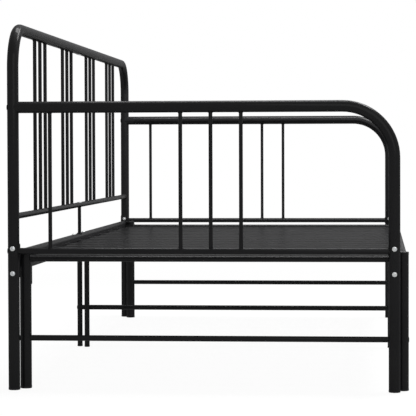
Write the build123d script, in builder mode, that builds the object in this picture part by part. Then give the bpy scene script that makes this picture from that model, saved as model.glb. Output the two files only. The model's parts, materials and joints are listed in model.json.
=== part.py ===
from build123d import *
import os

os.makedirs("parts", exist_ok=True)

# Steel-tube daybed with a pull-out bed of the same height nested in it, in millimetres.
# X runs along the bed, the front is -Y, Z is up. The origin is on the floor, under the
# middle of the closed bed. Left is -X, as seen from the front.

# Tube and sheet stock
post_d = 28.0               # posts, legs, top rail and arms
post_wall = 1.2
rail_d = 15.0               # lower rails and centre legs
rail_wall = 1.0
brace_d = 14.0              # cross braces and the pull-out bed's end rails
spindle_d = 9.5
support_d = 10.0
side_wall = 1.2             # side rails
tall_rail_w = 20.0          # flat-oval tube
tall_rail_h = 40.0
low_rail_w = 15.0           # box tube
low_rail_h = 14.0
low_rail_corner = 4.0
sheet = 1.2                 # pressed slats

# Main bed layout
end_x = 1021.0              # post axes at both ends
back_y = 470.25
post_spacing = 920.0
front_y = back_y - post_spacing
back_top_z = 878.0          # axis of the top rail
back_bend_r = 98.0
back_rail_z = 420.5
arm_z = 685.0
arm_bend_r = 124.0
arm_rail_z = 337.2
arm_spindle_steps = (90.0, 407.0, 480.0, 553.0)     # forward of the back post
spindle_group_xs = (-648.0, -216.0, 216.0, 648.0)
spindle_pitch = 75.5
seam = 0.4                  # hairline where two half tubes meet at mid length

# Pull-out bed layout
trundle_end_x = 986.0
trundle_back_y = 447.75
trundle_front_y = -back_y
trundle_leg_top_z = 335.0
end_rail_z = 316.5
end_brace_z = 123.0
centre_brace_z = 116.0
centre_leg_x = 8.0          # main bed's centre legs; the pull-out bed's stand at minus this

# Slat platform, shared by both beds
slat_count = 18
slat_pitch = 107.0
slat_w = 75.0
slat_top_z = 318.0
slat_flange_h = 8.0
slat_corner = 3.0
tall_rail_z = 316.0          # mid height of the tall side rails
low_rail_z = 301.0           # mid height of the low side rails
main_back_rail_y = back_y + 3.0
main_back_leg_y = back_y + 1.0
main_front_rail_y = front_y + 3.5
slat_overhang = 2.0         # free slat ends past the middle of the low rail, on its flat

# Fittings
foot_h = 6.0
foot_edge = 1.2
stem_h = 22.0
stem_play = 0.1
cap_h = 8.0
cap_edge = 1.0
bush_h = 12.0
saddle_w = 26.0
saddle_t = 4.0              # saddle plate's thickness at the tube
saddle_wrap = 5.0           # how far its sides reach round the tube
saddle_corner = 4.0
arm_setback = 5.0           # coped arm tube ends this far forward of the post's axis
main_saddle_h = 84.0
trundle_saddle_low_z = 252.0
trundle_saddle_h = 70.0
rail_bolt_zs = (283.0, 343.4)
rail_bolt_d = 6.0
rail_bolt_head_d = 12.0
rail_bolt_head_h = 3.6
rail_bolt_edge = 1.4
rail_bolt_socket = 5.0
rail_bolt_length = 38.5
nut_flats = 10.0
nut_h = 5.0
bolt_d = 5.0                # low black bolts and screws
bolt_head_d = 13.0
bolt_head_h = 1.1
bolt_head_land = 2.0        # tube left bare on each side of a head
hole_play = 0.2
trundle_screw_zs = (262.0, 284.0)
screw_head_d = 10.0
screw_head_h = 2.4
screw_length = 10.0
sleeve_screw_length = 5.0
top_screw_x = 14.0          # screws at the middle of the top and lower rail
splice_screw_x = 90.0       # screws of the side rail splices
splice_l = 240.0
splice_play = 0.15
sleeve_l = 120.0
sleeve_wall = 1.5
leg_plate = (40.0, 15.0, 3.0)
leg_wrap = 2.5              # a head plate's sides round a tall rail's underside
support_plate = (40.0, 10.0, 2.0)
plate_corner = 3.0

SIDES = (("left", -1), ("right", 1))
POSTS = [(sign * end_x, y) for _, sign in SIDES for y in (back_y, front_y)]
TALL_RAIL = (tall_rail_w, tall_rail_h)
LOW_RAIL = (low_rail_w, low_rail_h)
post_inner_d = post_d - 2 * post_wall
rail_inner_d = rail_d - 2 * rail_wall
slat_x0 = -slat_pitch * (slat_count - 1) / 2
back_spindle_xs = [group + step * spindle_pitch for group in spindle_group_xs for step in (-1, 0, 1)]


def save(piece, name):
    """Name a finished piece and write it to its own file."""
    piece.part.label = name
    export_step(piece.part, f"parts/{name}.step")


def ring(diameter, wall):
    """Draw a round tube's section in the open sketch."""
    Circle(diameter / 2)
    Circle(diameter / 2 - wall, mode=Mode.SUBTRACT)


def rail_outline(section, inset=0, mode=Mode.ADD):
    """Draw a side rail's section in the open sketch, smaller by inset all round."""
    width, height = (size - 2 * inset for size in section)
    if section == TALL_RAIL:
        SlotOverall(height, width, rotation=90, mode=mode)
    else:
        RectangleRounded(width, height, low_rail_corner - inset, mode=mode)


# Main bed: the back, two halves joined at the middle of the top rail and lower rail
for side, sign in SIDES:
    post_x = sign * end_x
    with BuildPart() as back_frame:
        with BuildLine() as route:
            FilletPolyline(
                (post_x, back_y, foot_h),
                (post_x, back_y, back_top_z),
                (sign * seam / 2, back_y, back_top_z),
                radius=back_bend_r,
            )
        with BuildSketch(Plane(origin=route.line @ 0, z_dir=route.line % 0)):
            ring(post_d, post_wall)
        sweep()
        # Rail bolts pass through along X, arm bolts along Y, a joint screw enters from below
        with BuildSketch(Plane.YZ.offset(post_x)):
            with Locations(*[(back_y, z) for z in rail_bolt_zs]):
                Circle(rail_bolt_d / 2 + hole_play)
        extrude(amount=post_d, both=True, mode=Mode.SUBTRACT)
        with BuildSketch(Plane.XZ.offset(-back_y)):
            with Locations((post_x, arm_z), (post_x, arm_rail_z)):
                Circle(bolt_d / 2 + hole_play)
        extrude(amount=post_d, both=True, mode=Mode.SUBTRACT)
        with BuildSketch(Plane.XY.offset(back_top_z)):
            with Locations((sign * top_screw_x, back_y)):
                Circle(bolt_d / 2 + hole_play)
        extrude(amount=-post_d, mode=Mode.SUBTRACT)
    save(back_frame, f"back_frame_{side}")

    with BuildPart() as back_lower_rail:
        with BuildSketch(Plane.YZ.offset(sign * seam / 2)):
            with Locations((back_y, back_rail_z)):
                ring(rail_d, rail_wall)
        extrude(amount=sign * (end_x - seam / 2))
        # Coped to fit round the post
        with BuildSketch(Plane.XY.offset(back_rail_z)):
            with Locations((post_x, back_y)):
                Circle(post_d / 2)
        extrude(amount=rail_d, both=True, mode=Mode.SUBTRACT)
        with BuildSketch(Plane.XY.offset(back_rail_z)):
            with Locations((sign * top_screw_x, back_y)):
                Circle(bolt_d / 2 + hole_play)
        extrude(amount=rail_d, mode=Mode.SUBTRACT)
    save(back_lower_rail, f"back_lower_rail_{side}")

# Back spindles, coped at both ends to sit on the lower rail and under the top rail
with BuildPart() as back_spindles:
    with BuildSketch(Plane.XY.offset(back_rail_z)):
        with Locations(*[(x, back_y) for x in back_spindle_xs]):
            Circle(spindle_d / 2)
    extrude(amount=back_top_z - back_rail_z)
    with BuildSketch(Plane.YZ):
        with Locations((back_y, back_rail_z)):
            Circle(rail_d / 2)
        with Locations((back_y, back_top_z)):
            Circle(post_d / 2)
    extrude(amount=end_x, both=True, mode=Mode.SUBTRACT)
save(back_spindles, "back_spindles")

# Centre support: a rod under the lower rail, on a foot plate that fits the side rail's round top
tall_rail_top_z = tall_rail_z + tall_rail_h / 2
with BuildPart() as centre_support:
    with BuildSketch(Plane.XY.offset(tall_rail_top_z + support_plate[2])):
        with Locations((0, back_y)):
            RectangleRounded(support_plate[0], support_plate[1], plate_corner)
    extrude(amount=-tall_rail_w / 2)
    with BuildSketch(Plane.XY.offset(back_rail_z)):
        with Locations((0, back_y)):
            Circle(support_d / 2)
    extrude(amount=tall_rail_z - back_rail_z)
    with BuildSketch(Plane.YZ):
        with Locations((back_y, back_rail_z)):
            Circle(rail_d / 2)
        with Locations((main_back_rail_y, tall_rail_z)):
            rail_outline(TALL_RAIL)
    extrude(amount=support_plate[0], both=True, mode=Mode.SUBTRACT)
save(centre_support, "back_centre_support")

# Arms: one bent tube each, coped on the back post, down to the front foot
for side, sign in SIDES:
    post_x = sign * end_x
    with BuildPart() as arm_frame:
        with BuildLine() as route:
            FilletPolyline(
                (post_x, back_y - arm_setback, arm_z),
                (post_x, front_y, arm_z),
                (post_x, front_y, foot_h),
                radius=arm_bend_r,
            )
        with BuildSketch(Plane(origin=route.line @ 0, z_dir=route.line % 0)):
            ring(post_d, post_wall)
        sweep()
        # Welded-in threaded bush for the bolt that comes through the back post
        with BuildSketch(Plane.XZ.offset(post_d / 2 - back_y)):
            with Locations((post_x, arm_z)):
                Circle(post_inner_d / 2)
                Circle(bolt_d / 2 + hole_play, mode=Mode.SUBTRACT)
        extrude(amount=bush_h)
        with BuildSketch(Plane.XY.offset(arm_z)):
            with Locations((post_x, back_y)):
                Circle(post_d / 2)
        extrude(amount=post_d, both=True, mode=Mode.SUBTRACT)
        with BuildSketch(Plane.YZ.offset(post_x)):
            with Locations(*[(front_y, z) for z in rail_bolt_zs]):
                Circle(rail_bolt_d / 2 + hole_play)
        extrude(amount=post_d, both=True, mode=Mode.SUBTRACT)
    save(arm_frame, f"arm_frame_{side}")

    with BuildPart() as arm_lower_rail:
        with BuildSketch(Plane.XZ.offset(-back_y)):
            with Locations((post_x, arm_rail_z)):
                ring(rail_d, rail_wall)
        extrude(amount=post_spacing)
        with BuildSketch(Plane.XZ.offset(post_d / 2 - back_y)):
            with Locations((post_x, arm_rail_z)):
                Circle(rail_inner_d / 2)
                Circle(bolt_d / 2 + hole_play, mode=Mode.SUBTRACT)
        extrude(amount=bush_h)
        with BuildSketch(Plane.XY.offset(arm_rail_z)):
            with Locations((post_x, back_y), (post_x, front_y)):
                Circle(post_d / 2)
        extrude(amount=rail_d, both=True, mode=Mode.SUBTRACT)
    save(arm_lower_rail, f"arm_lower_rail_{side}")

# Arm spindles, coped at both ends to sit on the lower rail and under the arm
arm_xs = [sign * end_x for _, sign in SIDES]
with BuildPart() as arm_spindles:
    with BuildSketch(Plane.XY.offset(arm_rail_z)):
        with Locations(*[(x, back_y - step) for x in arm_xs for step in arm_spindle_steps]):
            Circle(spindle_d / 2)
    extrude(amount=arm_z - arm_rail_z)
    with BuildSketch(Plane.XZ.offset(-back_y)):
        with Locations(*[(x, arm_rail_z) for x in arm_xs]):
            Circle(rail_d / 2)
        with Locations(*[(x, arm_z) for x in arm_xs]):
            Circle(post_d / 2)
    extrude(amount=post_spacing, mode=Mode.SUBTRACT)
save(arm_spindles, "arm_spindles")


def side_rail(sign, rail, post, saddle, screw_zs, screw_from):
    """Half a side rail, with a saddle plate welded on its end that fits the post.

    rail is (y, z, section) of the tube, post is (x, y) of the post's axis, saddle is the
    plate's (low z, height), screw_zs are its bolt heights and screw_from is the direction
    of the splice screw: 1 enters from above, -1 from below.
    """
    rail_y, rail_z, section = rail
    post_x, post_y = post
    saddle_x = post_x - post_d / 2 - saddle_t
    with BuildPart() as piece:
        with BuildSketch(Plane.YZ.offset(sign * seam / 2)):
            with Locations((rail_y, rail_z)):
                rail_outline(section)
                rail_outline(section, side_wall, Mode.SUBTRACT)
        extrude(amount=sign * (saddle_x - seam / 2))
        with BuildSketch(Plane.YZ.offset(sign * saddle_x)):
            with Locations((post_y, saddle[0] + saddle[1] / 2)):
                RectangleRounded(saddle_w, saddle[1], saddle_corner)
        extrude(amount=sign * (saddle_t + saddle_wrap))
        with BuildSketch(Plane.XY.offset(saddle[0])):
            with Locations((sign * post_x, post_y)):
                Circle(post_d / 2)
        extrude(amount=saddle[1], mode=Mode.SUBTRACT)
        with BuildSketch(Plane.YZ.offset(sign * saddle_x)):
            with Locations(*[(post_y, z) for z in screw_zs]):
                Circle(rail_bolt_d / 2 + hole_play)
        extrude(amount=sign * (saddle_t + saddle_wrap), mode=Mode.SUBTRACT)
        with BuildSketch(Plane.XY.offset(rail_z)):
            with Locations((sign * splice_screw_x, rail_y)):
                Circle(bolt_d / 2 + hole_play)
        extrude(amount=screw_from * section[1], mode=Mode.SUBTRACT)
    return piece


# Side rails: a tall one that holds the fixed slat ends, and a low one that carries the free ends
main_saddle = (sum(rail_bolt_zs) / 2 - main_saddle_h / 2, main_saddle_h)
trundle_saddle = (trundle_saddle_low_z, trundle_saddle_h)
main_back_rail = (main_back_rail_y, tall_rail_z, TALL_RAIL)
main_front_rail = (main_front_rail_y, low_rail_z, LOW_RAIL)
trundle_front_rail = (trundle_front_y, tall_rail_z, TALL_RAIL)
trundle_back_rail = (trundle_back_y, low_rail_z, LOW_RAIL)
for side, sign in SIDES:
    save(
        side_rail(sign, main_back_rail, (end_x, back_y), main_saddle, rail_bolt_zs, 1),
        f"back_side_rail_{side}",
    )
    save(
        side_rail(sign, main_front_rail, (end_x, front_y), main_saddle, rail_bolt_zs, -1),
        f"front_side_rail_{side}",
    )
    save(
        side_rail(
            sign, trundle_front_rail, (trundle_end_x, trundle_front_y), trundle_saddle, trundle_screw_zs, -1
        ),
        f"trundle_front_rail_{side}",
    )
    save(
        side_rail(
            sign, trundle_back_rail, (trundle_end_x, trundle_back_y), trundle_saddle, trundle_screw_zs, -1
        ),
        f"trundle_back_rail_{side}",
    )


def splice_bars(rails):
    """Hollow bars that slide into both halves of each (y, z, section, screw side) side rail."""
    inset = side_wall + splice_play
    with BuildPart() as piece:
        for rail_y, rail_z, section, screw_from in rails:
            with BuildSketch(Plane.YZ.offset(-splice_l / 2)):
                with Locations((rail_y, rail_z)):
                    rail_outline(section, inset)
                    rail_outline(section, inset + sleeve_wall, Mode.SUBTRACT)
            extrude(amount=splice_l)
            with BuildSketch(Plane.XY.offset(rail_z)):
                with Locations((-splice_screw_x, rail_y), (splice_screw_x, rail_y)):
                    Circle(bolt_d / 2 + hole_play)
            extrude(amount=screw_from * section[1], mode=Mode.SUBTRACT)
    return piece


save(splice_bars([(*trundle_front_rail, -1), (*trundle_back_rail, -1)]), "trundle_rail_splices")

# Main bed: side rail splices, and sleeves in the top and lower rail where the back's halves meet
with BuildPart() as joining_sleeves:
    add(splice_bars([(*main_back_rail, 1), (*main_front_rail, -1)]).part)
    with BuildSketch(Plane.YZ.offset(-sleeve_l / 2)):
        with Locations((back_y, back_top_z)):
            ring(post_inner_d - 2 * splice_play, sleeve_wall)
        with Locations((back_y, back_rail_z)):
            ring(rail_inner_d - 2 * splice_play, sleeve_wall)
    extrude(amount=sleeve_l)
    with BuildSketch(Plane.XY.offset(back_top_z)):
        with Locations((-top_screw_x, back_y), (top_screw_x, back_y)):
            Circle(bolt_d / 2 + hole_play)
    extrude(amount=-post_d, mode=Mode.SUBTRACT)
    with BuildSketch(Plane.XY.offset(back_rail_z)):
        with Locations((-top_screw_x, back_y), (top_screw_x, back_y)):
            Circle(bolt_d / 2 + hole_play)
    extrude(amount=rail_d, mode=Mode.SUBTRACT)
save(joining_sleeves, "joining_sleeves")


def centre_leg(x, y, rail):
    """A thin leg at mid length, with a head plate that fits the underside of a (y, z, section) rail."""
    rail_y, rail_z, section = rail
    plate_z = rail_z - section[1] / 2 - leg_plate[2]
    with BuildPart() as piece:
        with BuildSketch(Plane.XY.offset(foot_h)):
            with Locations((x, y)):
                ring(rail_d, rail_wall)
        extrude(amount=plate_z - foot_h)
        with BuildSketch(Plane.XY.offset(plate_z)):
            with Locations((x, y)):
                RectangleRounded(leg_plate[0], leg_plate[1], plate_corner)
        extrude(amount=leg_plate[2] + (leg_wrap if section == TALL_RAIL else 0))
        with BuildSketch(Plane.YZ.offset(x)):
            with Locations((rail_y, rail_z)):
                rail_outline(section)
        extrude(amount=leg_plate[0], both=True, mode=Mode.SUBTRACT)
    return piece


def brace_hole(piece, x, y, z):
    """The leg with the hole that a brace bolt passes through, along Y."""
    with BuildPart() as drilled:
        add(piece.part)
        with BuildSketch(Plane.XZ.offset(-y)):
            with Locations((x, z)):
                Circle(bolt_d / 2 + hole_play)
        extrude(amount=post_d, both=True, mode=Mode.SUBTRACT)
    return drilled


MAIN_CENTRE_LEGS = {"back": (main_back_leg_y, main_back_rail), "front": (main_front_rail_y, main_front_rail)}
TRUNDLE_CENTRE_LEGS = ((trundle_back_y, trundle_back_rail), (trundle_front_y, trundle_front_rail))
for place, (leg_y, rail) in MAIN_CENTRE_LEGS.items():
    leg = brace_hole(centre_leg(centre_leg_x, leg_y, rail), centre_leg_x, leg_y, centre_brace_z)
    save(leg, f"centre_leg_{place}")
with BuildPart() as trundle_centre_legs:
    for leg_y, rail in TRUNDLE_CENTRE_LEGS:
        add(centre_leg(-centre_leg_x, leg_y, rail).part)
save(trundle_centre_legs, "trundle_centre_legs")


def brace(x, z, from_y, to_y, leg_d, bushed):
    """A cross tube between two legs, coped on both, with threaded bushes where it is bolted."""
    with BuildPart() as piece:
        with BuildSketch(Plane.XZ.offset(-from_y)):
            with Locations((x, z)):
                ring(brace_d, rail_wall)
        extrude(amount=from_y - to_y)
        if bushed:
            for start_y, step in ((from_y, 1), (to_y, -1)):
                with BuildSketch(Plane.XZ.offset(step * leg_d / 2 - start_y)):
                    with Locations((x, z)):
                        Circle(brace_d / 2 - rail_wall)
                        Circle(bolt_d / 2 + hole_play, mode=Mode.SUBTRACT)
                extrude(amount=step * bush_h)
        with BuildSketch(Plane.XY.offset(z)):
            with Locations((x, from_y), (x, to_y)):
                Circle(leg_d / 2)
        extrude(amount=brace_d, both=True, mode=Mode.SUBTRACT)
    return piece


save(
    brace(centre_leg_x, centre_brace_z, main_back_leg_y, main_front_rail_y, rail_d, True),
    "centre_brace",
)

# Pull-out bed: legs, end rails and end braces
for side, sign in SIDES:
    leg_x = sign * trundle_end_x
    for place, leg_y in (("back", trundle_back_y), ("front", trundle_front_y)):
        with BuildPart() as trundle_leg:
            with BuildSketch(Plane.XY.offset(foot_h)):
                with Locations((leg_x, leg_y)):
                    ring(post_d, post_wall)
            extrude(amount=trundle_leg_top_z - cap_h - foot_h)
            # Rail screws enter the inner wall
            with BuildSketch(Plane.YZ.offset(leg_x)):
                with Locations(*[(leg_y, z) for z in trundle_screw_zs]):
                    Circle(rail_bolt_d / 2 + hole_play)
            extrude(amount=-sign * post_d, mode=Mode.SUBTRACT)
        save(brace_hole(trundle_leg, leg_x, leg_y, end_brace_z), f"trundle_leg_{place}_{side}")
    save(
        brace(leg_x, end_rail_z, trundle_back_y, trundle_front_y, post_d, False),
        f"trundle_end_rail_{side}",
    )
    save(
        brace(leg_x, end_brace_z, trundle_back_y, trundle_front_y, post_d, True),
        f"trundle_end_brace_{side}",
    )


def slat(x, fixed_y, free_y):
    """A pressed slat: a skin with turned-down edges, and at its free end a deeper lip
    that sits on the low rail, so that the other bed's slats pass over that rail."""
    forward = fixed_y - free_y
    lip_h = slat_top_z - (low_rail_z + low_rail_h / 2)
    with BuildPart() as piece:
        with BuildSketch(Plane.XZ.offset(-fixed_y)) as section:
            with Locations((x, slat_top_z)):
                Rectangle(slat_w, slat_flange_h, align=(Align.CENTER, Align.MAX))
            fillet(section.vertices().group_by(Axis.Y)[-1], slat_corner)
            with Locations((x, slat_top_z - sheet)):
                Rectangle(
                    slat_w - 2 * sheet,
                    slat_flange_h,
                    align=(Align.CENTER, Align.MAX),
                    mode=Mode.SUBTRACT,
                )
        extrude(amount=forward)
        with BuildSketch(Plane.XZ.offset(-free_y)):
            with Locations((x, slat_top_z - sheet)):
                Rectangle(slat_w - 2 * slat_corner, lip_h - sheet, align=(Align.CENTER, Align.MAX))
        extrude(amount=-sheet if forward > 0 else sheet)
    return piece


# Slats alternate: the main bed's from the back side rail, the pull-out bed's from its front rail
for index in range(slat_count):
    slat_x = slat_x0 + index * slat_pitch
    number = index // 2 + 1
    if index % 2 == 0:
        piece = slat(slat_x, main_back_rail_y - tall_rail_w / 2, main_front_rail_y - slat_overhang)
        save(piece, f"main_slat_{number}")
    else:
        piece = slat(slat_x, trundle_front_y + tall_rail_w / 2, trundle_back_y + slat_overhang)
        save(piece, f"trundle_slat_{number}")


def feet(posts, centre_legs):
    """Plastic feet: a tread as wide as the tube, with a stem that plugs into it."""
    with BuildPart() as piece:
        with BuildSketch(Plane.XY):
            with Locations(*posts):
                Circle(post_d / 2)
            with Locations(*centre_legs):
                Circle(rail_d / 2)
        extrude(amount=foot_h)
        chamfer(piece.edges().filter_by(GeomType.CIRCLE).group_by(Axis.Z)[0], foot_edge)
        with BuildSketch(Plane.XY.offset(foot_h)):
            with Locations(*posts):
                Circle(post_inner_d / 2 - stem_play)
            with Locations(*centre_legs):
                Circle(rail_inner_d / 2 - stem_play)
        extrude(amount=stem_h)
    return piece


TRUNDLE_LEGS = [(sign * trundle_end_x, y) for _, sign in SIDES for y in (trundle_back_y, trundle_front_y)]
save(feet(POSTS, [(centre_leg_x, y) for y, _ in MAIN_CENTRE_LEGS.values()]), "main_feet")
save(feet(TRUNDLE_LEGS, [(-centre_leg_x, y) for y, _ in TRUNDLE_CENTRE_LEGS]), "trundle_feet")

# Leg caps of the pull-out bed: a flat lid as wide as the tube, with a stem inside it
with BuildPart() as leg_caps:
    with BuildSketch(Plane.XY.offset(trundle_leg_top_z - cap_h)):
        with Locations(*TRUNDLE_LEGS):
            Circle(post_d / 2)
    extrude(amount=cap_h)
    chamfer(leg_caps.edges().filter_by(GeomType.CIRCLE).group_by(Axis.Z)[-1], cap_edge)
    with BuildSketch(Plane.XY.offset(trundle_leg_top_z - cap_h)):
        with Locations(*TRUNDLE_LEGS):
            Circle(post_inner_d / 2 - stem_play)
    extrude(amount=-stem_h)
save(leg_caps, "trundle_leg_caps")

# Rail bolts: domed socket heads that sit on the posts' outer sides, shanks through to the nuts
post_outer_x = end_x + post_d / 2
RAIL_BOLTS = [(y, z) for y in (back_y, front_y) for z in rail_bolt_zs]
with BuildPart() as rail_bolts:
    for _, sign in SIDES:
        with BuildSketch(Plane.YZ.offset(sign * end_x)):
            with Locations(*RAIL_BOLTS):
                Circle(rail_bolt_head_d / 2)
        extrude(amount=sign * (post_d / 2 + rail_bolt_head_h))
    for end in (0, -1):
        chamfer(rail_bolts.edges().filter_by(GeomType.CIRCLE).group_by(Axis.X)[end], rail_bolt_edge)
    with BuildSketch(Plane.XY):
        with Locations(*POSTS):
            Circle(post_d / 2)
    extrude(amount=back_rail_z, mode=Mode.SUBTRACT)
    for _, sign in SIDES:
        with BuildSketch(Plane.YZ.offset(sign * (post_outer_x + rail_bolt_head_h))):
            with Locations(*RAIL_BOLTS):
                RegularPolygon(rail_bolt_socket / 2, 6, major_radius=False)
        extrude(amount=-sign * rail_bolt_head_h / 2, mode=Mode.SUBTRACT)
        with BuildSketch(Plane.YZ.offset(sign * post_outer_x)):
            with Locations(*RAIL_BOLTS):
                Circle(rail_bolt_d / 2)
        extrude(amount=-sign * rail_bolt_length)
save(rail_bolts, "rail_bolts")

with BuildPart() as rail_nuts:
    for _, sign in SIDES:
        with BuildSketch(Plane.YZ.offset(sign * (end_x - post_d / 2 - saddle_t))):
            with Locations(*RAIL_BOLTS):
                RegularPolygon(nut_flats / 2, 6, major_radius=False)
                Circle(rail_bolt_d / 2 + hole_play / 2, mode=Mode.SUBTRACT)
        extrude(amount=-sign * nut_h)
save(rail_nuts, "rail_nuts")


def low_bolts(places):
    """Low round-headed bolts along Y. Each place is (x, z, tube axis y, tube diameter, way),
    where way is 1 for a head on the back of the tube and -1 for one on its front."""
    with BuildPart() as piece:
        for x, z, tube_y, tube_d, way in places:
            face_y = tube_y + way * tube_d / 2
            head_r = min(bolt_head_d, tube_d - 2 * bolt_head_land) / 2
            with BuildSketch(Plane.XZ.offset(-tube_y)):
                with Locations((x, z)):
                    Circle(head_r)
            extrude(amount=-way * (tube_d / 2 + bolt_head_h))
            with BuildSketch(Plane.XY.offset(z - bolt_head_d)):
                with Locations((x, tube_y)):
                    Circle(tube_d / 2)
            extrude(amount=2 * bolt_head_d, mode=Mode.SUBTRACT)
            with BuildSketch(Plane.XZ.offset(-face_y)):
                with Locations((x, z)):
                    Circle(bolt_d / 2)
            extrude(amount=way * (tube_d + bush_h))
    return piece


ARM_BOLTS = [(sign * end_x, z, back_y, post_d, 1) for _, sign in SIDES for z in (arm_z, arm_rail_z)]
CENTRE_BRACE_BOLTS = [
    (centre_leg_x, centre_brace_z, main_back_leg_y, rail_d, 1),
    (centre_leg_x, centre_brace_z, main_front_rail_y, rail_d, -1),
]
END_BRACE_BOLTS = [
    (sign * trundle_end_x, end_brace_z, y, post_d, way)
    for _, sign in SIDES
    for y, way in ((trundle_back_y, 1), (trundle_front_y, -1))
]
save(low_bolts(ARM_BOLTS + CENTRE_BRACE_BOLTS), "arm_and_brace_bolts")
save(low_bolts(END_BRACE_BOLTS), "trundle_brace_bolts")


def flat_screws(places):
    """Screws along Z on flat faces. Each place is (x, y, face z, way), where way points at the head."""
    with BuildPart() as piece:
        for x, y, face_z, way in places:
            with BuildSketch(Plane.XY.offset(face_z)):
                with Locations((x, y)):
                    Circle(screw_head_d / 2)
            extrude(amount=way * screw_head_h)
            with BuildSketch(Plane.XY.offset(face_z)):
                with Locations((x, y)):
                    Circle(bolt_d / 2)
            extrude(amount=-way * screw_length)
    return piece


def tube_screws(places, head_h, length):
    """Screws along Z on tubes that run along X, with heads that fit the tube.

    Each place is (x, y, tube axis z, tube diameter, way), where way points at the head.
    """
    with BuildPart() as piece:
        for x, y, tube_z, tube_d, way in places:
            with BuildSketch(Plane.XY.offset(tube_z)):
                with Locations((x, y)):
                    Circle(screw_head_d / 2)
            extrude(amount=way * (tube_d / 2 + head_h))
            with BuildSketch(Plane.YZ.offset(x - screw_head_d)):
                with Locations((y, tube_z)):
                    Circle(tube_d / 2)
            extrude(amount=2 * screw_head_d, mode=Mode.SUBTRACT)
            with BuildSketch(Plane.XY.offset(tube_z + way * tube_d / 2)):
                with Locations((x, y)):
                    Circle(bolt_d / 2)
            extrude(amount=-way * length)
    return piece


# Joint screws at mid length: on the back's top and lower rail, and on the side rail splices
joint_xs = (-top_screw_x, top_screw_x)
splice_xs = (-splice_screw_x, splice_screw_x)
tall_rail_tip = (tall_rail_h - tall_rail_w) / 2     # mid height to the axis of a round edge
low_rail_low_z = low_rail_z - low_rail_h / 2
BACK_SCREWS = [(x, back_y, back_top_z, post_d, -1) for x in joint_xs]
BACK_SCREWS += [(x, back_y, back_rail_z, rail_d, 1) for x in joint_xs]
BACK_RAIL_SCREWS = [(x, main_back_rail_y, tall_rail_z + tall_rail_tip, tall_rail_w, 1) for x in splice_xs]
FRONT_RAIL_SCREWS = [(x, trundle_front_y, tall_rail_z - tall_rail_tip, tall_rail_w, -1) for x in splice_xs]
with BuildPart() as joint_screws:
    add(tube_screws(BACK_SCREWS, bolt_head_h, sleeve_screw_length).part)
    add(tube_screws(BACK_RAIL_SCREWS, screw_head_h, screw_length).part)
    add(flat_screws([(x, main_front_rail_y, low_rail_low_z, -1) for x in splice_xs]).part)
save(joint_screws, "joint_screws")

trundle_screw_x = trundle_end_x - post_d / 2 - saddle_t
TRUNDLE_SADDLE_SCREWS = [(y, z) for y in (trundle_front_y, trundle_back_y) for z in trundle_screw_zs]
with BuildPart() as trundle_screws:
    add(tube_screws(FRONT_RAIL_SCREWS, screw_head_h, screw_length).part)
    add(flat_screws([(x, trundle_back_y, low_rail_low_z, -1) for x in splice_xs]).part)
    for _, sign in SIDES:
        with BuildSketch(Plane.YZ.offset(sign * trundle_screw_x)):
            with Locations(*TRUNDLE_SADDLE_SCREWS):
                Circle(screw_head_d / 2)
        extrude(amount=-sign * screw_head_h)
        with BuildSketch(Plane.YZ.offset(sign * trundle_screw_x)):
            with Locations(*TRUNDLE_SADDLE_SCREWS):
                Circle(rail_bolt_d / 2)
        extrude(amount=sign * screw_length)
save(trundle_screws, "trundle_rail_screws")
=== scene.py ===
import json
import math

import bmesh
import bpy
import numpy as np
from mathutils import Matrix, Vector


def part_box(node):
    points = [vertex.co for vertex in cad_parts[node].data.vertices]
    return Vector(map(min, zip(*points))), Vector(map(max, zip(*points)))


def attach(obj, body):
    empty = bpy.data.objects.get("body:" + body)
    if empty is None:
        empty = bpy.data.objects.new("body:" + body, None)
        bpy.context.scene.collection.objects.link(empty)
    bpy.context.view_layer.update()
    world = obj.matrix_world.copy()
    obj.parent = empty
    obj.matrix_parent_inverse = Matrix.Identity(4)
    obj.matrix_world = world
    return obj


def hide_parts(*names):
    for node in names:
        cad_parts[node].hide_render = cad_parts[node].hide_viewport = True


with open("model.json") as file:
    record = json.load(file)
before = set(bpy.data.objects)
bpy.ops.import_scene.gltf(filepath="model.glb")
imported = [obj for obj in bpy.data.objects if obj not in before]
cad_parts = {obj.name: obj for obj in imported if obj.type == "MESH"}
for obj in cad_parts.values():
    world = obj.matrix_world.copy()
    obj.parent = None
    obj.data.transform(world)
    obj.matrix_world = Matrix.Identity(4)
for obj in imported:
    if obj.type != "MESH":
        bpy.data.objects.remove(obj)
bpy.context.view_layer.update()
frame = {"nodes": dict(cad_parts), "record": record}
scene = bpy.context.scene

MM = 0.001

# Camera, fitted to the photograph: it stands off the left end and looks along the bed
CAMERA_PLACE = (-5.5607, -0.4089, 0.5781)
CAMERA_HEADING = -85.3972   # degrees about Z, 0 looks along +Y
CAMERA_TILT = 88.5298       # degrees, 90 is level
CAMERA_ROLL = -0.1654
CAMERA_LENS = 164.139       # mm
CAMERA_SENSOR = 36.0        # mm across
CAMERA_SHIFT = (-0.04, -0.02)
CAMERA_REACH = 500.0        # metres, past the floor's far corners

# Axes of the frame
X = np.array([1.0, 0.0, 0.0])
Y = np.array([0.0, 1.0, 0.0])
Z = np.array([0.0, 0.0, 1.0])


# Places and tube sizes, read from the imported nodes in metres


def middle(node):
    """The middle of a node's box."""
    low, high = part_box(node)
    return (low + high) / 2


def half(node):
    """Half the size of a node's box."""
    low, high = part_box(node)
    return (high - low) / 2


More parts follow.
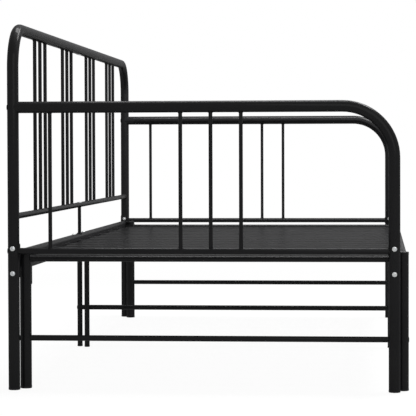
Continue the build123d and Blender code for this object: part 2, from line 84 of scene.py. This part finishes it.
POST_R = half("trundle_leg_front_left").x
RAIL_R = half("back_lower_rail_left").z
BRACE_R = half("trundle_end_rail_left").z
SPINDLE_R = half("back_spindles").y
END_X = middle("arm_frame_right").x
BACK_Y = middle("back_frame_left").y
FRONT_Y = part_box("arm_frame_left")[0].y + POST_R
BACK_TOP_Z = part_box("back_frame_left")[1].z - POST_R
BACK_RAIL_Z = middle("back_lower_rail_left").z
ARM_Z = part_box("arm_frame_left")[1].z - POST_R
ARM_RAIL_Z = middle("arm_lower_rail_left").z
TRUNDLE_X = middle("trundle_leg_front_right").x
TRUNDLE_BACK_Y = middle("trundle_leg_back_left").y
TRUNDLE_FRONT_Y = middle("trundle_leg_front_left").y
END_RAIL_Z = middle("trundle_end_rail_left").z
END_BRACE_Z = middle("trundle_end_brace_left").z
CENTRE_BRACE_Z = middle("centre_brace").z
FOOT_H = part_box("trundle_leg_front_left")[0].z
CAP_LOW_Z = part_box("trundle_leg_front_left")[1].z
CAP_HIGH_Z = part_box("trundle_leg_caps")[1].z
SLAT_TOP_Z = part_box("main_slat_1")[1].z

# Layout of the rods, which share a node
SPINDLE_GROUPS = (-648 * MM, -216 * MM, 216 * MM, 648 * MM)
SPINDLE_PITCH = 75.5 * MM
ARM_SPINDLE_STEPS = (90 * MM, 407 * MM, 480 * MM, 553 * MM)     # forward of the back post

# Sizes that no node's box gives
TALL_RAIL_H = 40 * MM
TALL_RAIL_EDGE_R = 10 * MM  # half its width, the flat oval's round edges
LEG_PLATE_T = 3 * MM
SUPPORT_R = 5 * MM

BACK_SPINDLE_XS = [group + step * SPINDLE_PITCH for group in SPINDLE_GROUPS for step in (-1, 0, 1)]
ARM_XS = (-END_X, END_X)
TRUNDLE_XS = (-TRUNDLE_X, TRUNDLE_X)

# Finishes

DRIFT_SPAN = (0.3, 0.7)     # the noise's values at the two ends of a drift
DRIFT_DETAIL = 3.0
GRAIN_DETAIL = 1.0


def linear(hex_colour):
    """Turn an sRGB hex colour into linear RGBA, by the standard's own curve."""
    channels = np.array([int(hex_colour[i:i + 2], 16) for i in (1, 3, 5)]) / 255
    low = channels / 12.92
    high = ((channels + 0.055) / 1.055) ** 2.4
    return (*np.where(channels <= 0.04045, low, high), 1.0)


def add_node(tree, kind, settings=None, links=None):
    """Add a node. settings are properties or socket values by name, links are sockets to join to its
    inputs, by name or number."""
    made = tree.nodes.new(kind)
    for name, value in (settings or {}).items():
        if hasattr(made, name):
            setattr(made, name, value)
        else:
            made.inputs[name].default_value = value
    for name, source in (links or {}).items():
        tree.links.new(source, made.inputs[name])
    return made


def finish(name, colours, roughness, drift_mm, grain_mm, grain_depth_mm, fixed):
    """A material whose tone and roughness drift over drift_mm, with a fine grain of bumps.

    colours and roughness are the two ends of the drift, and fixed holds the shader's own constants.
    """
    material = bpy.data.materials.new(name)
    material.use_nodes = True
    tree = material.node_tree
    shader = tree.nodes["Principled BSDF"]
    for socket, value in fixed.items():
        shader.inputs[socket].default_value = value
    place = add_node(tree, "ShaderNodeTexCoord").outputs["Object"]
    drift_size = {"Scale": 1 / (drift_mm * MM), "Detail": DRIFT_DETAIL}
    drift = add_node(tree, "ShaderNodeTexNoise", drift_size, {"Vector": place}).outputs["Fac"]
    ramp = add_node(tree, "ShaderNodeValToRGB", links={"Fac": drift})
    for element, colour, position in zip(ramp.color_ramp.elements, colours, DRIFT_SPAN):
        element.color = linear(colour)
        element.position = position
    sockets = ("From Min", "From Max", "To Min", "To Max")
    ends = dict(zip(sockets, (*DRIFT_SPAN, *roughness)))
    spread = add_node(tree, "ShaderNodeMapRange", ends, {"Value": drift})
    grain_size = {"Scale": 1 / (grain_mm * MM), "Detail": GRAIN_DETAIL}
    grain = add_node(tree, "ShaderNodeTexNoise", grain_size, {"Vector": place}).outputs["Fac"]
    bump = add_node(tree, "ShaderNodeBump", {"Distance": grain_depth_mm * MM}, {"Height": grain})
    tree.links.new(ramp.outputs["Color"], shader.inputs["Base Color"])
    tree.links.new(spread.outputs["Result"], shader.inputs["Roughness"])
    tree.links.new(bump.outputs["Normal"], shader.inputs["Normal"])
    tree.links.new(bump.outputs["Normal"], shader.inputs["Coat Normal"])
    return material


# Polyester powder coat, sprayed on steel tube and baked: satin black with soft orange peel.
# The peel is 1 to 2 mm wide on the real coat, and is drawn 5 mm wide so that it shows.
frame_coat = finish(
    "satin_powder_coat", ("#1a1a1b", "#1e1e1f"), (0.5, 0.58),
    drift_mm=90, grain_mm=5, grain_depth_mm=0.015,
    fixed={"Specular IOR Level": 0.01, "Coat Weight": 0.05, "Coat Roughness": 0.12, "Coat IOR": 2.0},
)
# The same powder on pressed sheet, where it flows out smoother and its sheen shows at low angles
slat_coat = finish(
    "slat_powder_coat", ("#0c0c0d", "#101011"), (0.36, 0.42),
    drift_mm=140, grain_mm=4, grain_depth_mm=0.008,
    fixed={"Specular IOR Level": 0.0, "Coat Weight": 0.15, "Coat Roughness": 0.3, "Coat IOR": 1.5},
)
# Bright zinc plating on steel: a pale bluish metal with a faint cloudy film
bright_zinc = finish(
    "bright_zinc_plating", ("#a8abae", "#bebfbd"), (0.3, 0.42),
    drift_mm=9, grain_mm=1.5, grain_depth_mm=0.01, fixed={"Metallic": 1.0},
)
# Moulded polyethylene: waxy black with the mould's spark-eroded grain, drawn 1.5 mm wide
moulded_black = finish(
    "moulded_polyethylene", ("#0e0e0f", "#131314"), (0.45, 0.55),
    drift_mm=30, grain_mm=1.5, grain_depth_mm=0.03, fixed={"Specular IOR Level": 0.12},
)

FINISHES = {
    "frame_powder_coat": frame_coat,
    "slat_powder_coat": slat_coat,
    "zinc_plated_steel": bright_zinc,
    "black_plastic": moulded_black,
}
for part in frame["record"]["subparts"]:
    node_mesh = frame["nodes"][part["node"]].data
    node_mesh.materials.clear()
    node_mesh.materials.append(FINISHES[part["material_slot"]])

# New pieces

POLE_MERGE = 0.001 * MM
SHARP_EDGE = math.radians(40)
TURNED_SIDES = 40


def join_grids(grids):
    """Points and quads of several grids of points, joined.

    Each grid is (points, rows_close, columns_close), with points shaped (copies, rows, columns, 3).
    """
    points, quads, start = [], [], 0
    for grid, rows_close, columns_close in grids:
        number = np.arange(grid[..., 0].size).reshape(grid.shape[:3]) + start
        if rows_close:
            number = np.concatenate([number, number[:, :1]], axis=1)
        if columns_close:
            number = np.concatenate([number, number[:, :, :1]], axis=2)
        corners = [number[:, :-1, :-1], number[:, 1:, :-1], number[:, 1:, 1:], number[:, :-1, 1:]]
        quads.append(np.stack(corners, -1).reshape(-1, 4))
        points.append(grid.reshape(-1, 3))
        start += grid[..., 0].size
    return np.concatenate(points), np.concatenate(quads)


def add_piece(name, grids, slot, body, *nodes):
    """A mesh of grids, with its poles closed, that rides on a body and stands for the named nodes."""
    points, quads = join_grids(grids)
    mesh = bpy.data.meshes.new(name)
    mesh.from_pydata(points, [], quads.tolist())
    work = bmesh.new()
    work.from_mesh(mesh)
    bmesh.ops.remove_doubles(work, verts=work.verts, dist=POLE_MERGE)
    work.to_mesh(mesh)
    work.free()
    mesh.shade_smooth()
    mesh.set_sharp_from_angle(angle=SHARP_EDGE)
    mesh.materials.append(FINISHES[slot])
    piece = bpy.data.objects.new(name, mesh)
    scene.collection.objects.link(piece)
    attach(piece, body)
    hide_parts(*nodes)


def round_turn(steps):
    """Evenly spaced angles of one turn."""
    return np.linspace(0, 2 * np.pi, steps, endpoint=False)


def turned(profile, centres):
    """Revolve: every (radius, height) of the profile goes round the Z axis, once at each centre."""
    angle = round_turn(TURNED_SIDES)[:, None]
    radius, height = np.array(profile).T
    ring = np.stack([radius * np.cos(angle), radius * np.sin(angle), height + 0 * angle], -1)
    return np.array(centres)[:, None, None] + ring, True, False


# Plastic feet and caps

FOOT_LIP = 0.35 * MM        # the foot and the cap stand proud of the tube
FOOT_EDGE = 1.6 * MM
RIM_EDGE = 0.7 * MM
TREAD_RECESS = 0.5 * MM
TUBE_WALL = 1.3 * MM
STEM_H = 22 * MM
TREAD_FLOOR, TREAD_EDGE = 0.55, 0.6     # the hollow tread's radii, as shares of the tube's
EDGE_POINTS = 6
ARC = np.linspace(0, np.pi / 2, EDGE_POINTS)


def foot_profile(tube_r):
    """A foot's section: a hollowed tread, a rounded lower edge, a lip at the tube and a stem inside it."""
    outer = tube_r + FOOT_LIP
    stem = tube_r - TUBE_WALL
    low_edge = np.stack([outer - FOOT_EDGE * (1 - np.sin(ARC)), FOOT_EDGE * (1 - np.cos(ARC))], 1)
    rim = np.stack([outer - RIM_EDGE * (1 - np.cos(ARC)), FOOT_H - RIM_EDGE * (1 - np.sin(ARC))], 1)
    tread = [(0, TREAD_RECESS), (TREAD_FLOOR * tube_r, TREAD_RECESS), (TREAD_EDGE * tube_r, 0)]
    plug = [(stem, FOOT_H), (stem, FOOT_H + STEM_H), (0, FOOT_H + STEM_H)]
    return np.concatenate([tread, low_edge, rim, plug])


def cap_profile():
    """A leg cap's section: a stem in the tube, a lip on it and a lid with a rounded edge."""
    outer = POST_R + FOOT_LIP
    stem = POST_R - TUBE_WALL
    rim = np.stack([outer - RIM_EDGE * (1 - np.sin(ARC)), CAP_LOW_Z + RIM_EDGE * (1 - np.cos(ARC))], 1)
    lid = np.stack([outer - FOOT_EDGE * (1 - np.cos(ARC)), CAP_HIGH_Z - FOOT_EDGE * (1 - np.sin(ARC))], 1)
    plug = [(0, CAP_LOW_Z - STEM_H), (stem, CAP_LOW_Z - STEM_H), (stem, CAP_LOW_Z)]
    return np.concatenate([plug, rim, lid, [(0, CAP_HIGH_Z)]])


main_posts = [(x, y, 0) for x in ARM_XS for y in (BACK_Y, FRONT_Y)]
main_centre_legs = [(middle(leg).x, middle(leg).y, 0) for leg in ("centre_leg_back", "centre_leg_front")]
trundle_legs = [(x, y, 0) for x in TRUNDLE_XS for y in (TRUNDLE_BACK_Y, TRUNDLE_FRONT_Y)]
trundle_centre_x = middle("trundle_centre_legs").x
trundle_centre_legs = [(trundle_centre_x, y, 0) for y in (TRUNDLE_BACK_Y, TRUNDLE_FRONT_Y)]
add_piece(
    "moulded_main_feet",
    [turned(foot_profile(POST_R), main_posts), turned(foot_profile(RAIL_R), main_centre_legs)],
    "black_plastic", "main_frame", "main_feet",
)
add_piece(
    "moulded_trundle_feet",
    [turned(foot_profile(POST_R), trundle_legs), turned(foot_profile(RAIL_R), trundle_centre_legs)],
    "black_plastic", "trundle", "trundle_feet",
)
add_piece(
    "moulded_leg_caps",
    [turned(cap_profile(), trundle_legs)],
    "black_plastic", "trundle", "trundle_leg_caps",
)

# Bolts with hexagon sockets

SOCKET_DEPTH = 0.5          # share of the crown, plus the sink below
SOCKET_SINK = 0.6 * MM
SHANK_EDGE = 0.6 * MM
EDGE_SHARE = 0.35           # height of a head's straight edge, as a share of its crown
DOME = np.array([1.0, 0.985, 0.94, 0.86, 0.74, 0.6])       # shares of the head's radius, rim to crown
HEAD_SIDES = 48             # a multiple of 12, so that points lie on the socket's corners
FLAT = math.inf             # tube radius of a flat seat


def drop(tube_r, side):
    """How far a tube's surface lies below its outermost line at a distance to the side:
    tube_r - sqrt(tube_r^2 - side^2), written so that a flat seat gives zero."""
    return side ** 2 / (tube_r + np.sqrt(tube_r ** 2 - side ** 2))


def socket_heads(seats, outward, along, tube_r, head_r, crown, socket, shank):
    """Domed heads on tubes or flat faces, with hexagon sockets and shanks, as one turned shell each.

    At angle t the dome's height is edge + (crown - edge) sqrt(1 - share^2), the socket's rim is a
    hexagon, apothem / cos(t within its sixth of a turn), and the skirt goes down to the tube.
    Heights are from the seat, socket is the size across flats and shank is (radius, length).
    """
    turn = round_turn(HEAD_SIDES)
    sixth = np.pi / 3
    hexagon = socket / 2 / np.cos((turn + sixth / 2) % sixth - sixth / 2)
    skirt = -drop(tube_r, head_r * np.sin(turn))
    edge = EDGE_SHARE * crown
    floor_height = (1 - SOCKET_DEPTH) * crown - SOCKET_SINK
    shank_r, shank_l = shank
    profile = [
        (0, -shank_l),
        (shank_r - SHANK_EDGE, -shank_l),
        (shank_r, SHANK_EDGE - shank_l),
        (shank_r, -SHANK_EDGE),
        (head_r, skirt),
        *zip(DOME * head_r, edge + (crown - edge) * np.sqrt(1 - DOME ** 2)),
        (hexagon, crown),
        (hexagon, floor_height),
        (0, floor_height),
    ]
    radius = np.stack([r + 0 * turn for r, _ in profile], 1)
    height = np.stack([h + 0 * turn for _, h in profile], 1)
    across = np.cross(outward, along)
    shape = (
        (radius * np.cos(turn)[:, None])[..., None] * along
        + (radius * np.sin(turn)[:, None])[..., None] * across
        + height[..., None] * outward
    )
    return np.array(seats)[:, None, None] + shape, True, False


# Each kind's head radius, crown, socket across flats, and shank radius and length
RAIL_BOLT = (6.0 * MM, 3.6 * MM, 5 * MM, (3 * MM, 38.5 * MM))
LOW_BOLT = (6.5 * MM, 1.1 * MM, 4 * MM, (2.5 * MM, 40 * MM))
THIN_BOLT = (5.5 * MM, 1.1 * MM, 3 * MM, (2.5 * MM, 27 * MM))
JOINT_SCREW = (5.0 * MM, 1.1 * MM, 3 * MM, (2.5 * MM, 5 * MM))
SPLICE_SCREW = (5.0 * MM, 2.4 * MM, 3 * MM, (2.5 * MM, 10 * MM))
SADDLE_SCREW = (5.0 * MM, 2.4 * MM, 3 * MM, (3 * MM, 10 * MM))
JOINT_SCREW_XS = (-14 * MM, 14 * MM)
SPLICE_SCREW_XS = (-90 * MM, 90 * MM)
SADDLE_T = 4 * MM
SADDLE_SCREW_ZS = (262 * MM, 284 * MM)

bolt_low, bolt_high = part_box("rail_bolts")
rail_bolt_zs = (bolt_low.z + RAIL_BOLT[0], bolt_high.z - RAIL_BOLT[0])
back_leg, front_leg = main_centre_legs
main_back_rail_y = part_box("main_slat_1")[1].y + TALL_RAIL_EDGE_R
tall_rail_top_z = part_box("trundle_front_rail_left")[1].z
tall_rail_low_z = tall_rail_top_z - TALL_RAIL_H
low_rail_low_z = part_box("centre_leg_front")[1].z
saddle_x = TRUNDLE_X - POST_R - SADDLE_T


def post_bolts(side):
    """Rail bolts through both posts of one end, side is -1 or 1."""
    seats = [(side * (END_X + POST_R), y, z) for y in (BACK_Y, FRONT_Y) for z in rail_bolt_zs]
    return socket_heads(seats, side * X, Z, POST_R, *RAIL_BOLT)


def end_brace_bolts(leg_y, side):
    """Bolts through the pull-out bed's legs into its end braces, heads on the side away from them."""
    seats = [(x, leg_y + side * POST_R, END_BRACE_Z) for x in TRUNDLE_XS]
    return socket_heads(seats, side * Y, Z, POST_R, *LOW_BOLT)


def saddle_screws(side):
    """Screws from inside through the pull-out bed's saddle plates at one end."""
    ys = (TRUNDLE_BACK_Y, TRUNDLE_FRONT_Y)
    seats = [(side * saddle_x, y, z) for y in ys for z in SADDLE_SCREW_ZS]
    return socket_heads(seats, -side * X, Z, FLAT, *SADDLE_SCREW)


def rail_screws(xs, rail_y, face_z, side, tube_r, kind):
    """Screws down onto a rail's top, side 1, or up into its underside, side -1."""
    return socket_heads([(x, rail_y, face_z) for x in xs], side * Z, X, tube_r, *kind)


add_piece(
    "socket_rail_bolts",
    [post_bolts(-1), post_bolts(1)],
    "zinc_plated_steel", "main_frame", "rail_bolts",
)
arm_bolt_seats = [(x, BACK_Y + POST_R, z) for x in ARM_XS for z in (ARM_Z, ARM_RAIL_Z)]
add_piece(
    "low_main_bolts",
    [
        socket_heads(arm_bolt_seats, Y, Z, POST_R, *LOW_BOLT),
        socket_heads([(back_leg[0], back_leg[1] + RAIL_R, CENTRE_BRACE_Z)], Y, Z, RAIL_R, *THIN_BOLT),
        socket_heads([(front_leg[0], front_leg[1] - RAIL_R, CENTRE_BRACE_Z)], -Y, Z, RAIL_R, *THIN_BOLT),
    ],
    "frame_powder_coat", "main_frame", "arm_and_brace_bolts",
)
add_piece(
    "low_trundle_bolts",
    [end_brace_bolts(TRUNDLE_BACK_Y, 1), end_brace_bolts(TRUNDLE_FRONT_Y, -1)],
    "frame_powder_coat", "trundle", "trundle_brace_bolts",
)
add_piece(
    "domed_joint_screws",
    [
        rail_screws(JOINT_SCREW_XS, BACK_Y, BACK_TOP_Z - POST_R, -1, POST_R, JOINT_SCREW),
        rail_screws(JOINT_SCREW_XS, BACK_Y, BACK_RAIL_Z + RAIL_R, 1, RAIL_R, JOINT_SCREW),
        rail_screws(SPLICE_SCREW_XS, main_back_rail_y, tall_rail_top_z, 1, TALL_RAIL_EDGE_R, SPLICE_SCREW),
        rail_screws(SPLICE_SCREW_XS, front_leg[1], low_rail_low_z, -1, FLAT, SPLICE_SCREW),
    ],
    "zinc_plated_steel", "main_frame", "joint_screws",
)
add_piece(
    "domed_rail_screws",
    [
        rail_screws(SPLICE_SCREW_XS, TRUNDLE_FRONT_Y, tall_rail_low_z, -1, TALL_RAIL_EDGE_R, SPLICE_SCREW),
        rail_screws(SPLICE_SCREW_XS, TRUNDLE_BACK_Y, low_rail_low_z, -1, FLAT, SPLICE_SCREW),
        saddle_screws(-1),
        saddle_screws(1),
    ],
    "zinc_plated_steel", "trundle", "trundle_rail_screws",
)

# Welds under the coat

SPINDLE_BEAD = 1.3 * MM
RAIL_BEAD = 1.8 * MM
STITCH_BEAD = 2.0 * MM
RIPPLE = 0.13
RIPPLE_PITCH = 2.2 * MM
STITCH_L = 24 * MM
STITCH_STEP = 22 * MM       # each side of a slat's middle
STITCH_POINTS = 41
STITCH_BLUNTNESS = 6        # the power that rounds a stitch's ends
RING_SIDES = 44
BEAD_SIDES = 8


def weld_rings(seats, rod_r, rod_way, tube_r, tube_way, bead_r):
    """Rippled beads where a rod ends on a tube or a flat plate; seats are where its axis meets it.

    With t round the rod, the seam is the rod's circle carried along the rod until it meets the tube,
    at a drop for the distance rod_r sin t. The bead is a circle round the seam, of radius
    bead_r (1 + ripple cos(n t)).
    """
    around = round_turn(RING_SIDES)
    section = round_turn(BEAD_SIDES)[:, None]
    side_way = np.cross(rod_way, tube_way)
    radial = np.cos(around)[:, None] * tube_way + np.sin(around)[:, None] * side_way
    seam = rod_r * radial - drop(tube_r, rod_r * np.sin(around))[:, None] * rod_way
    ripples = round(2 * np.pi * rod_r / RIPPLE_PITCH)
    bead = bead_r * (1 + RIPPLE * np.cos(ripples * around))
    spread = np.cos(section) * radial[:, None] + np.sin(section) * rod_way
    ring = seam[:, None] + bead[:, None, None] * spread
    return np.array(seats)[:, None, None] + ring, True, True


def weld_stitches(middles, way, length, bead_r):
    """Short straight beads: a circle carried along way, whose radius is
    bead_r (1 + ripple cos) sqrt(1 - s^bluntness), with s from -1 to 1, so that the ends close."""
    share = np.linspace(-1, 1, STITCH_POINTS)
    section = round_turn(BEAD_SIDES)[:, None]
    side_way = np.roll(way, 1)
    up_way = np.cross(way, side_way)
    ripple = 1 + RIPPLE * np.cos(np.pi * share * length / RIPPLE_PITCH)
    bead = bead_r * ripple * np.sqrt(1 - share ** STITCH_BLUNTNESS)
    circle = np.cos(section) * side_way + np.sin(section) * up_way
    line = (share * length / 2)[:, None] * way
    shape = line[:, None] + bead[:, None, None] * circle
    return np.array(middles)[:, None, None] + shape, False, True


def slat_stitch_places(nodes, rail_face_y):
    """Two stitches at each slat's fixed end, in the corner between its top and the rail's face."""
    return [
        (middle(node).x + side * STITCH_STEP, rail_face_y, SLAT_TOP_Z) for node in nodes for side in (-1, 1)
    ]


main_slats = [node for node in frame["nodes"] if node.startswith("main_slat_")]
trundle_slats = [node for node in frame["nodes"] if node.startswith("trundle_slat_")]
rail_low_z, rail_top_z = BACK_RAIL_Z - RAIL_R, BACK_RAIL_Z + RAIL_R
spindle_feet = [(x, BACK_Y, rail_top_z) for x in BACK_SPINDLE_XS]
spindle_heads = [(x, BACK_Y, BACK_TOP_Z - POST_R) for x in BACK_SPINDLE_XS]
arm_spindles = [(x, BACK_Y - step) for x in ARM_XS for step in ARM_SPINDLE_STEPS]
arm_spindle_feet = [(*xy, ARM_RAIL_Z + RAIL_R) for xy in arm_spindles]
arm_spindle_heads = [(*xy, ARM_Z - POST_R) for xy in arm_spindles]
plate_low_zs = [z - LEG_PLATE_T for z in (tall_rail_low_z, low_rail_low_z)]
main_plates = [(*leg[:2], z) for leg, z in zip(main_centre_legs, plate_low_zs)]
trundle_plates = [(*leg[:2], z) for leg, z in zip(trundle_centre_legs, reversed(plate_low_zs))]
end_rails_back = [(x, TRUNDLE_BACK_Y - POST_R, END_RAIL_Z) for x in TRUNDLE_XS]
end_rails_front = [(x, TRUNDLE_FRONT_Y + POST_R, END_RAIL_Z) for x in TRUNDLE_XS]
main_stitches = slat_stitch_places(main_slats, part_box("main_slat_1")[1].y)
trundle_stitches = slat_stitch_places(trundle_slats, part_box("trundle_slat_1")[0].y)
add_piece(
    "main_welds",
    [
        weld_rings(spindle_feet, SPINDLE_R, Z, RAIL_R, X, SPINDLE_BEAD),
        weld_rings(spindle_heads, SPINDLE_R, -Z, POST_R, X, SPINDLE_BEAD),
        weld_rings(arm_spindle_feet, SPINDLE_R, Z, RAIL_R, Y, SPINDLE_BEAD),
        weld_rings(arm_spindle_heads, SPINDLE_R, -Z, POST_R, Y, SPINDLE_BEAD),
        weld_rings([(POST_R - END_X, BACK_Y, BACK_RAIL_Z)], RAIL_R, X, POST_R, Z, RAIL_BEAD),
        weld_rings([(END_X - POST_R, BACK_Y, BACK_RAIL_Z)], RAIL_R, -X, POST_R, Z, RAIL_BEAD),
        weld_rings([(x, FRONT_Y + POST_R, ARM_RAIL_Z) for x in ARM_XS], RAIL_R, Y, POST_R, Z, RAIL_BEAD),
        weld_rings([(0, BACK_Y, rail_low_z)], SUPPORT_R, -Z, RAIL_R, X, SPINDLE_BEAD),
        weld_rings(main_plates, RAIL_R, -Z, FLAT, X, RAIL_BEAD),
        weld_stitches(main_stitches, X, STITCH_L, STITCH_BEAD),
    ],
    "frame_powder_coat", "main_frame",
)
add_piece(
    "trundle_welds",
    [
        weld_rings(end_rails_back, BRACE_R, -Y, POST_R, Z, RAIL_BEAD),
        weld_rings(end_rails_front, BRACE_R, Y, POST_R, Z, RAIL_BEAD),
        weld_rings(trundle_plates, RAIL_R, -Z, FLAT, X, RAIL_BEAD),
        weld_stitches(trundle_stitches, X, STITCH_L, STITCH_BEAD),
    ],
    "frame_powder_coat", "trundle",
)

# Studio: white floor and surroundings, soft light from above

FLOOR_SIZE = 400.0
FLOOR_GLOW = 0.93           # share of plain white in the floor near the object; the rest keeps its shadow
FLOOR_REACH = (1.5, 4.0)    # metres from the middle between which the floor turns all white
FLOOR_SEEN = "#f2f2f2"
FLOOR_BOUNCE = "#a8a8a8"    # the floor as the light that it throws back up sees it
WORLD_FILL = 0.3
PLAIN_WHITE = "#ffffff"
# Place, aim and size of each soft light in metres, and its power in watts
LIGHTS = {
    "front_light": ((0.6, -1.15, 2.9), (0.3, -0.4, 0.4), (2.0, 0.7), 130),
    "over_light": ((0.2, 0.1, 2.9), (0.1, 0.1, 0.4), (1.2, 1.0), 80),
    "end_fill_light": ((-4.0, -1.2, 1.9), (-1, 0, 0.4), (2.6, 2.6), 30),
}

scene.view_settings.view_transform = "Standard"


def seen_white(tree):
    """One for camera, glossy and transmission rays, which all see the studio's plain white."""
    path = add_node(tree, "ShaderNodeLightPath").outputs
    either = {"operation": "MAXIMUM"}
    first = add_node(tree, "ShaderNodeMath", either, {0: path["Is Camera Ray"], 1: path["Is Glossy Ray"]})
    return add_node(
        tree, "ShaderNodeMath", either, {0: first.outputs[0], 1: path["Is Transmission Ray"]}
    ).outputs[0]


def mixed(tree, share, first, second):
    """Two shaders mixed; a share of one is all of the second."""
    links = {0: share, 1: first.outputs[0], 2: second.outputs[0]}
    return add_node(tree, "ShaderNodeMixShader", links=links)


def white_floor():
    """Plain matt floor: seen as white with a soft shadow, and greyer in the light it bounces."""
    material = bpy.data.materials.new("white_floor")
    material.use_nodes = True
    tree = material.node_tree
    tree.nodes.clear()
    plain = add_node(tree, "ShaderNodeEmission")
    shaded = add_node(tree, "ShaderNodeBsdfDiffuse", {"Color": linear(FLOOR_SEEN)})
    bounced = add_node(tree, "ShaderNodeBsdfDiffuse", {"Color": linear(FLOOR_BOUNCE)})
    place = add_node(tree, "ShaderNodeTexCoord").outputs["Object"]
    reach = add_node(tree, "ShaderNodeVectorMath", {"operation": "LENGTH"}, {0: place})
    glow = add_node(
        tree,
        "ShaderNodeMapRange",
        {"From Min": FLOOR_REACH[0], "From Max": FLOOR_REACH[1], "To Min": FLOOR_GLOW, "To Max": 1.0},
        {"Value": reach.outputs["Value"]},
    )
    seen = mixed(tree, glow.outputs["Result"], shaded, plain)
    surface = mixed(tree, seen_white(tree), bounced, seen)
    add_node(tree, "ShaderNodeOutputMaterial", links={"Surface": surface.outputs[0]})
    return material


def white_world():
    """White to the eye and in reflections, with a weaker even fill for the light on the object."""
    world = bpy.data.worlds.new("white_studio")
    world.use_nodes = True
    tree = world.node_tree
    tree.nodes.clear()
    fill = add_node(tree, "ShaderNodeBackground", {"Strength": WORLD_FILL, "Color": linear(PLAIN_WHITE)})
    plain = add_node(tree, "ShaderNodeBackground", {"Strength": 1.0, "Color": linear(PLAIN_WHITE)})
    surface = mixed(tree, seen_white(tree), fill, plain)
    add_node(tree, "ShaderNodeOutputWorld", links={"Surface": surface.outputs[0]})
    return world


def softbox(name, place, aim, size, power):
    """A rectangular soft light at place, turned to aim, size in metres and power in watts."""
    lamp = bpy.data.lights.new(name, "AREA")
    lamp.shape = "RECTANGLE"
    lamp.size, lamp.size_y = size
    lamp.energy = power
    holder = bpy.data.objects.new(name, lamp)
    scene.collection.objects.link(holder)
    holder.location = place
    holder.rotation_euler = (Vector(aim) - Vector(place)).to_track_quat("-Z", "Y").to_euler()
    holder.visible_camera = False


corner = FLOOR_SIZE / 2
floor_mesh = bpy.data.meshes.new("floor")
floor_points = [(-corner, -corner, 0), (corner, -corner, 0), (corner, corner, 0), (-corner, corner, 0)]
floor_mesh.from_pydata(floor_points, [], [(0, 1, 2, 3)])
floor_mesh.materials.append(white_floor())
floor = bpy.data.objects.new("floor", floor_mesh)
scene.collection.objects.link(floor)
scene.world = white_world()
for light, (place, aim, size, power) in LIGHTS.items():
    softbox(light, place, aim, size, power)

# Camera

camera_data = bpy.data.cameras.new("camera")
camera_data.lens = CAMERA_LENS
camera_data.sensor_width = CAMERA_SENSOR
camera_data.shift_x, camera_data.shift_y = CAMERA_SHIFT
camera_data.clip_end = CAMERA_REACH
camera = bpy.data.objects.new("camera", camera_data)
scene.collection.objects.link(camera)
turn = (
    Matrix.Rotation(math.radians(CAMERA_HEADING), 3, "Z")
    @ Matrix.Rotation(math.radians(CAMERA_TILT), 3, "X")
    @ Matrix.Rotation(math.radians(CAMERA_ROLL), 3, "Z")
)
camera.location = CAMERA_PLACE
camera.rotation_euler = turn.to_euler()
scene.camera = camera
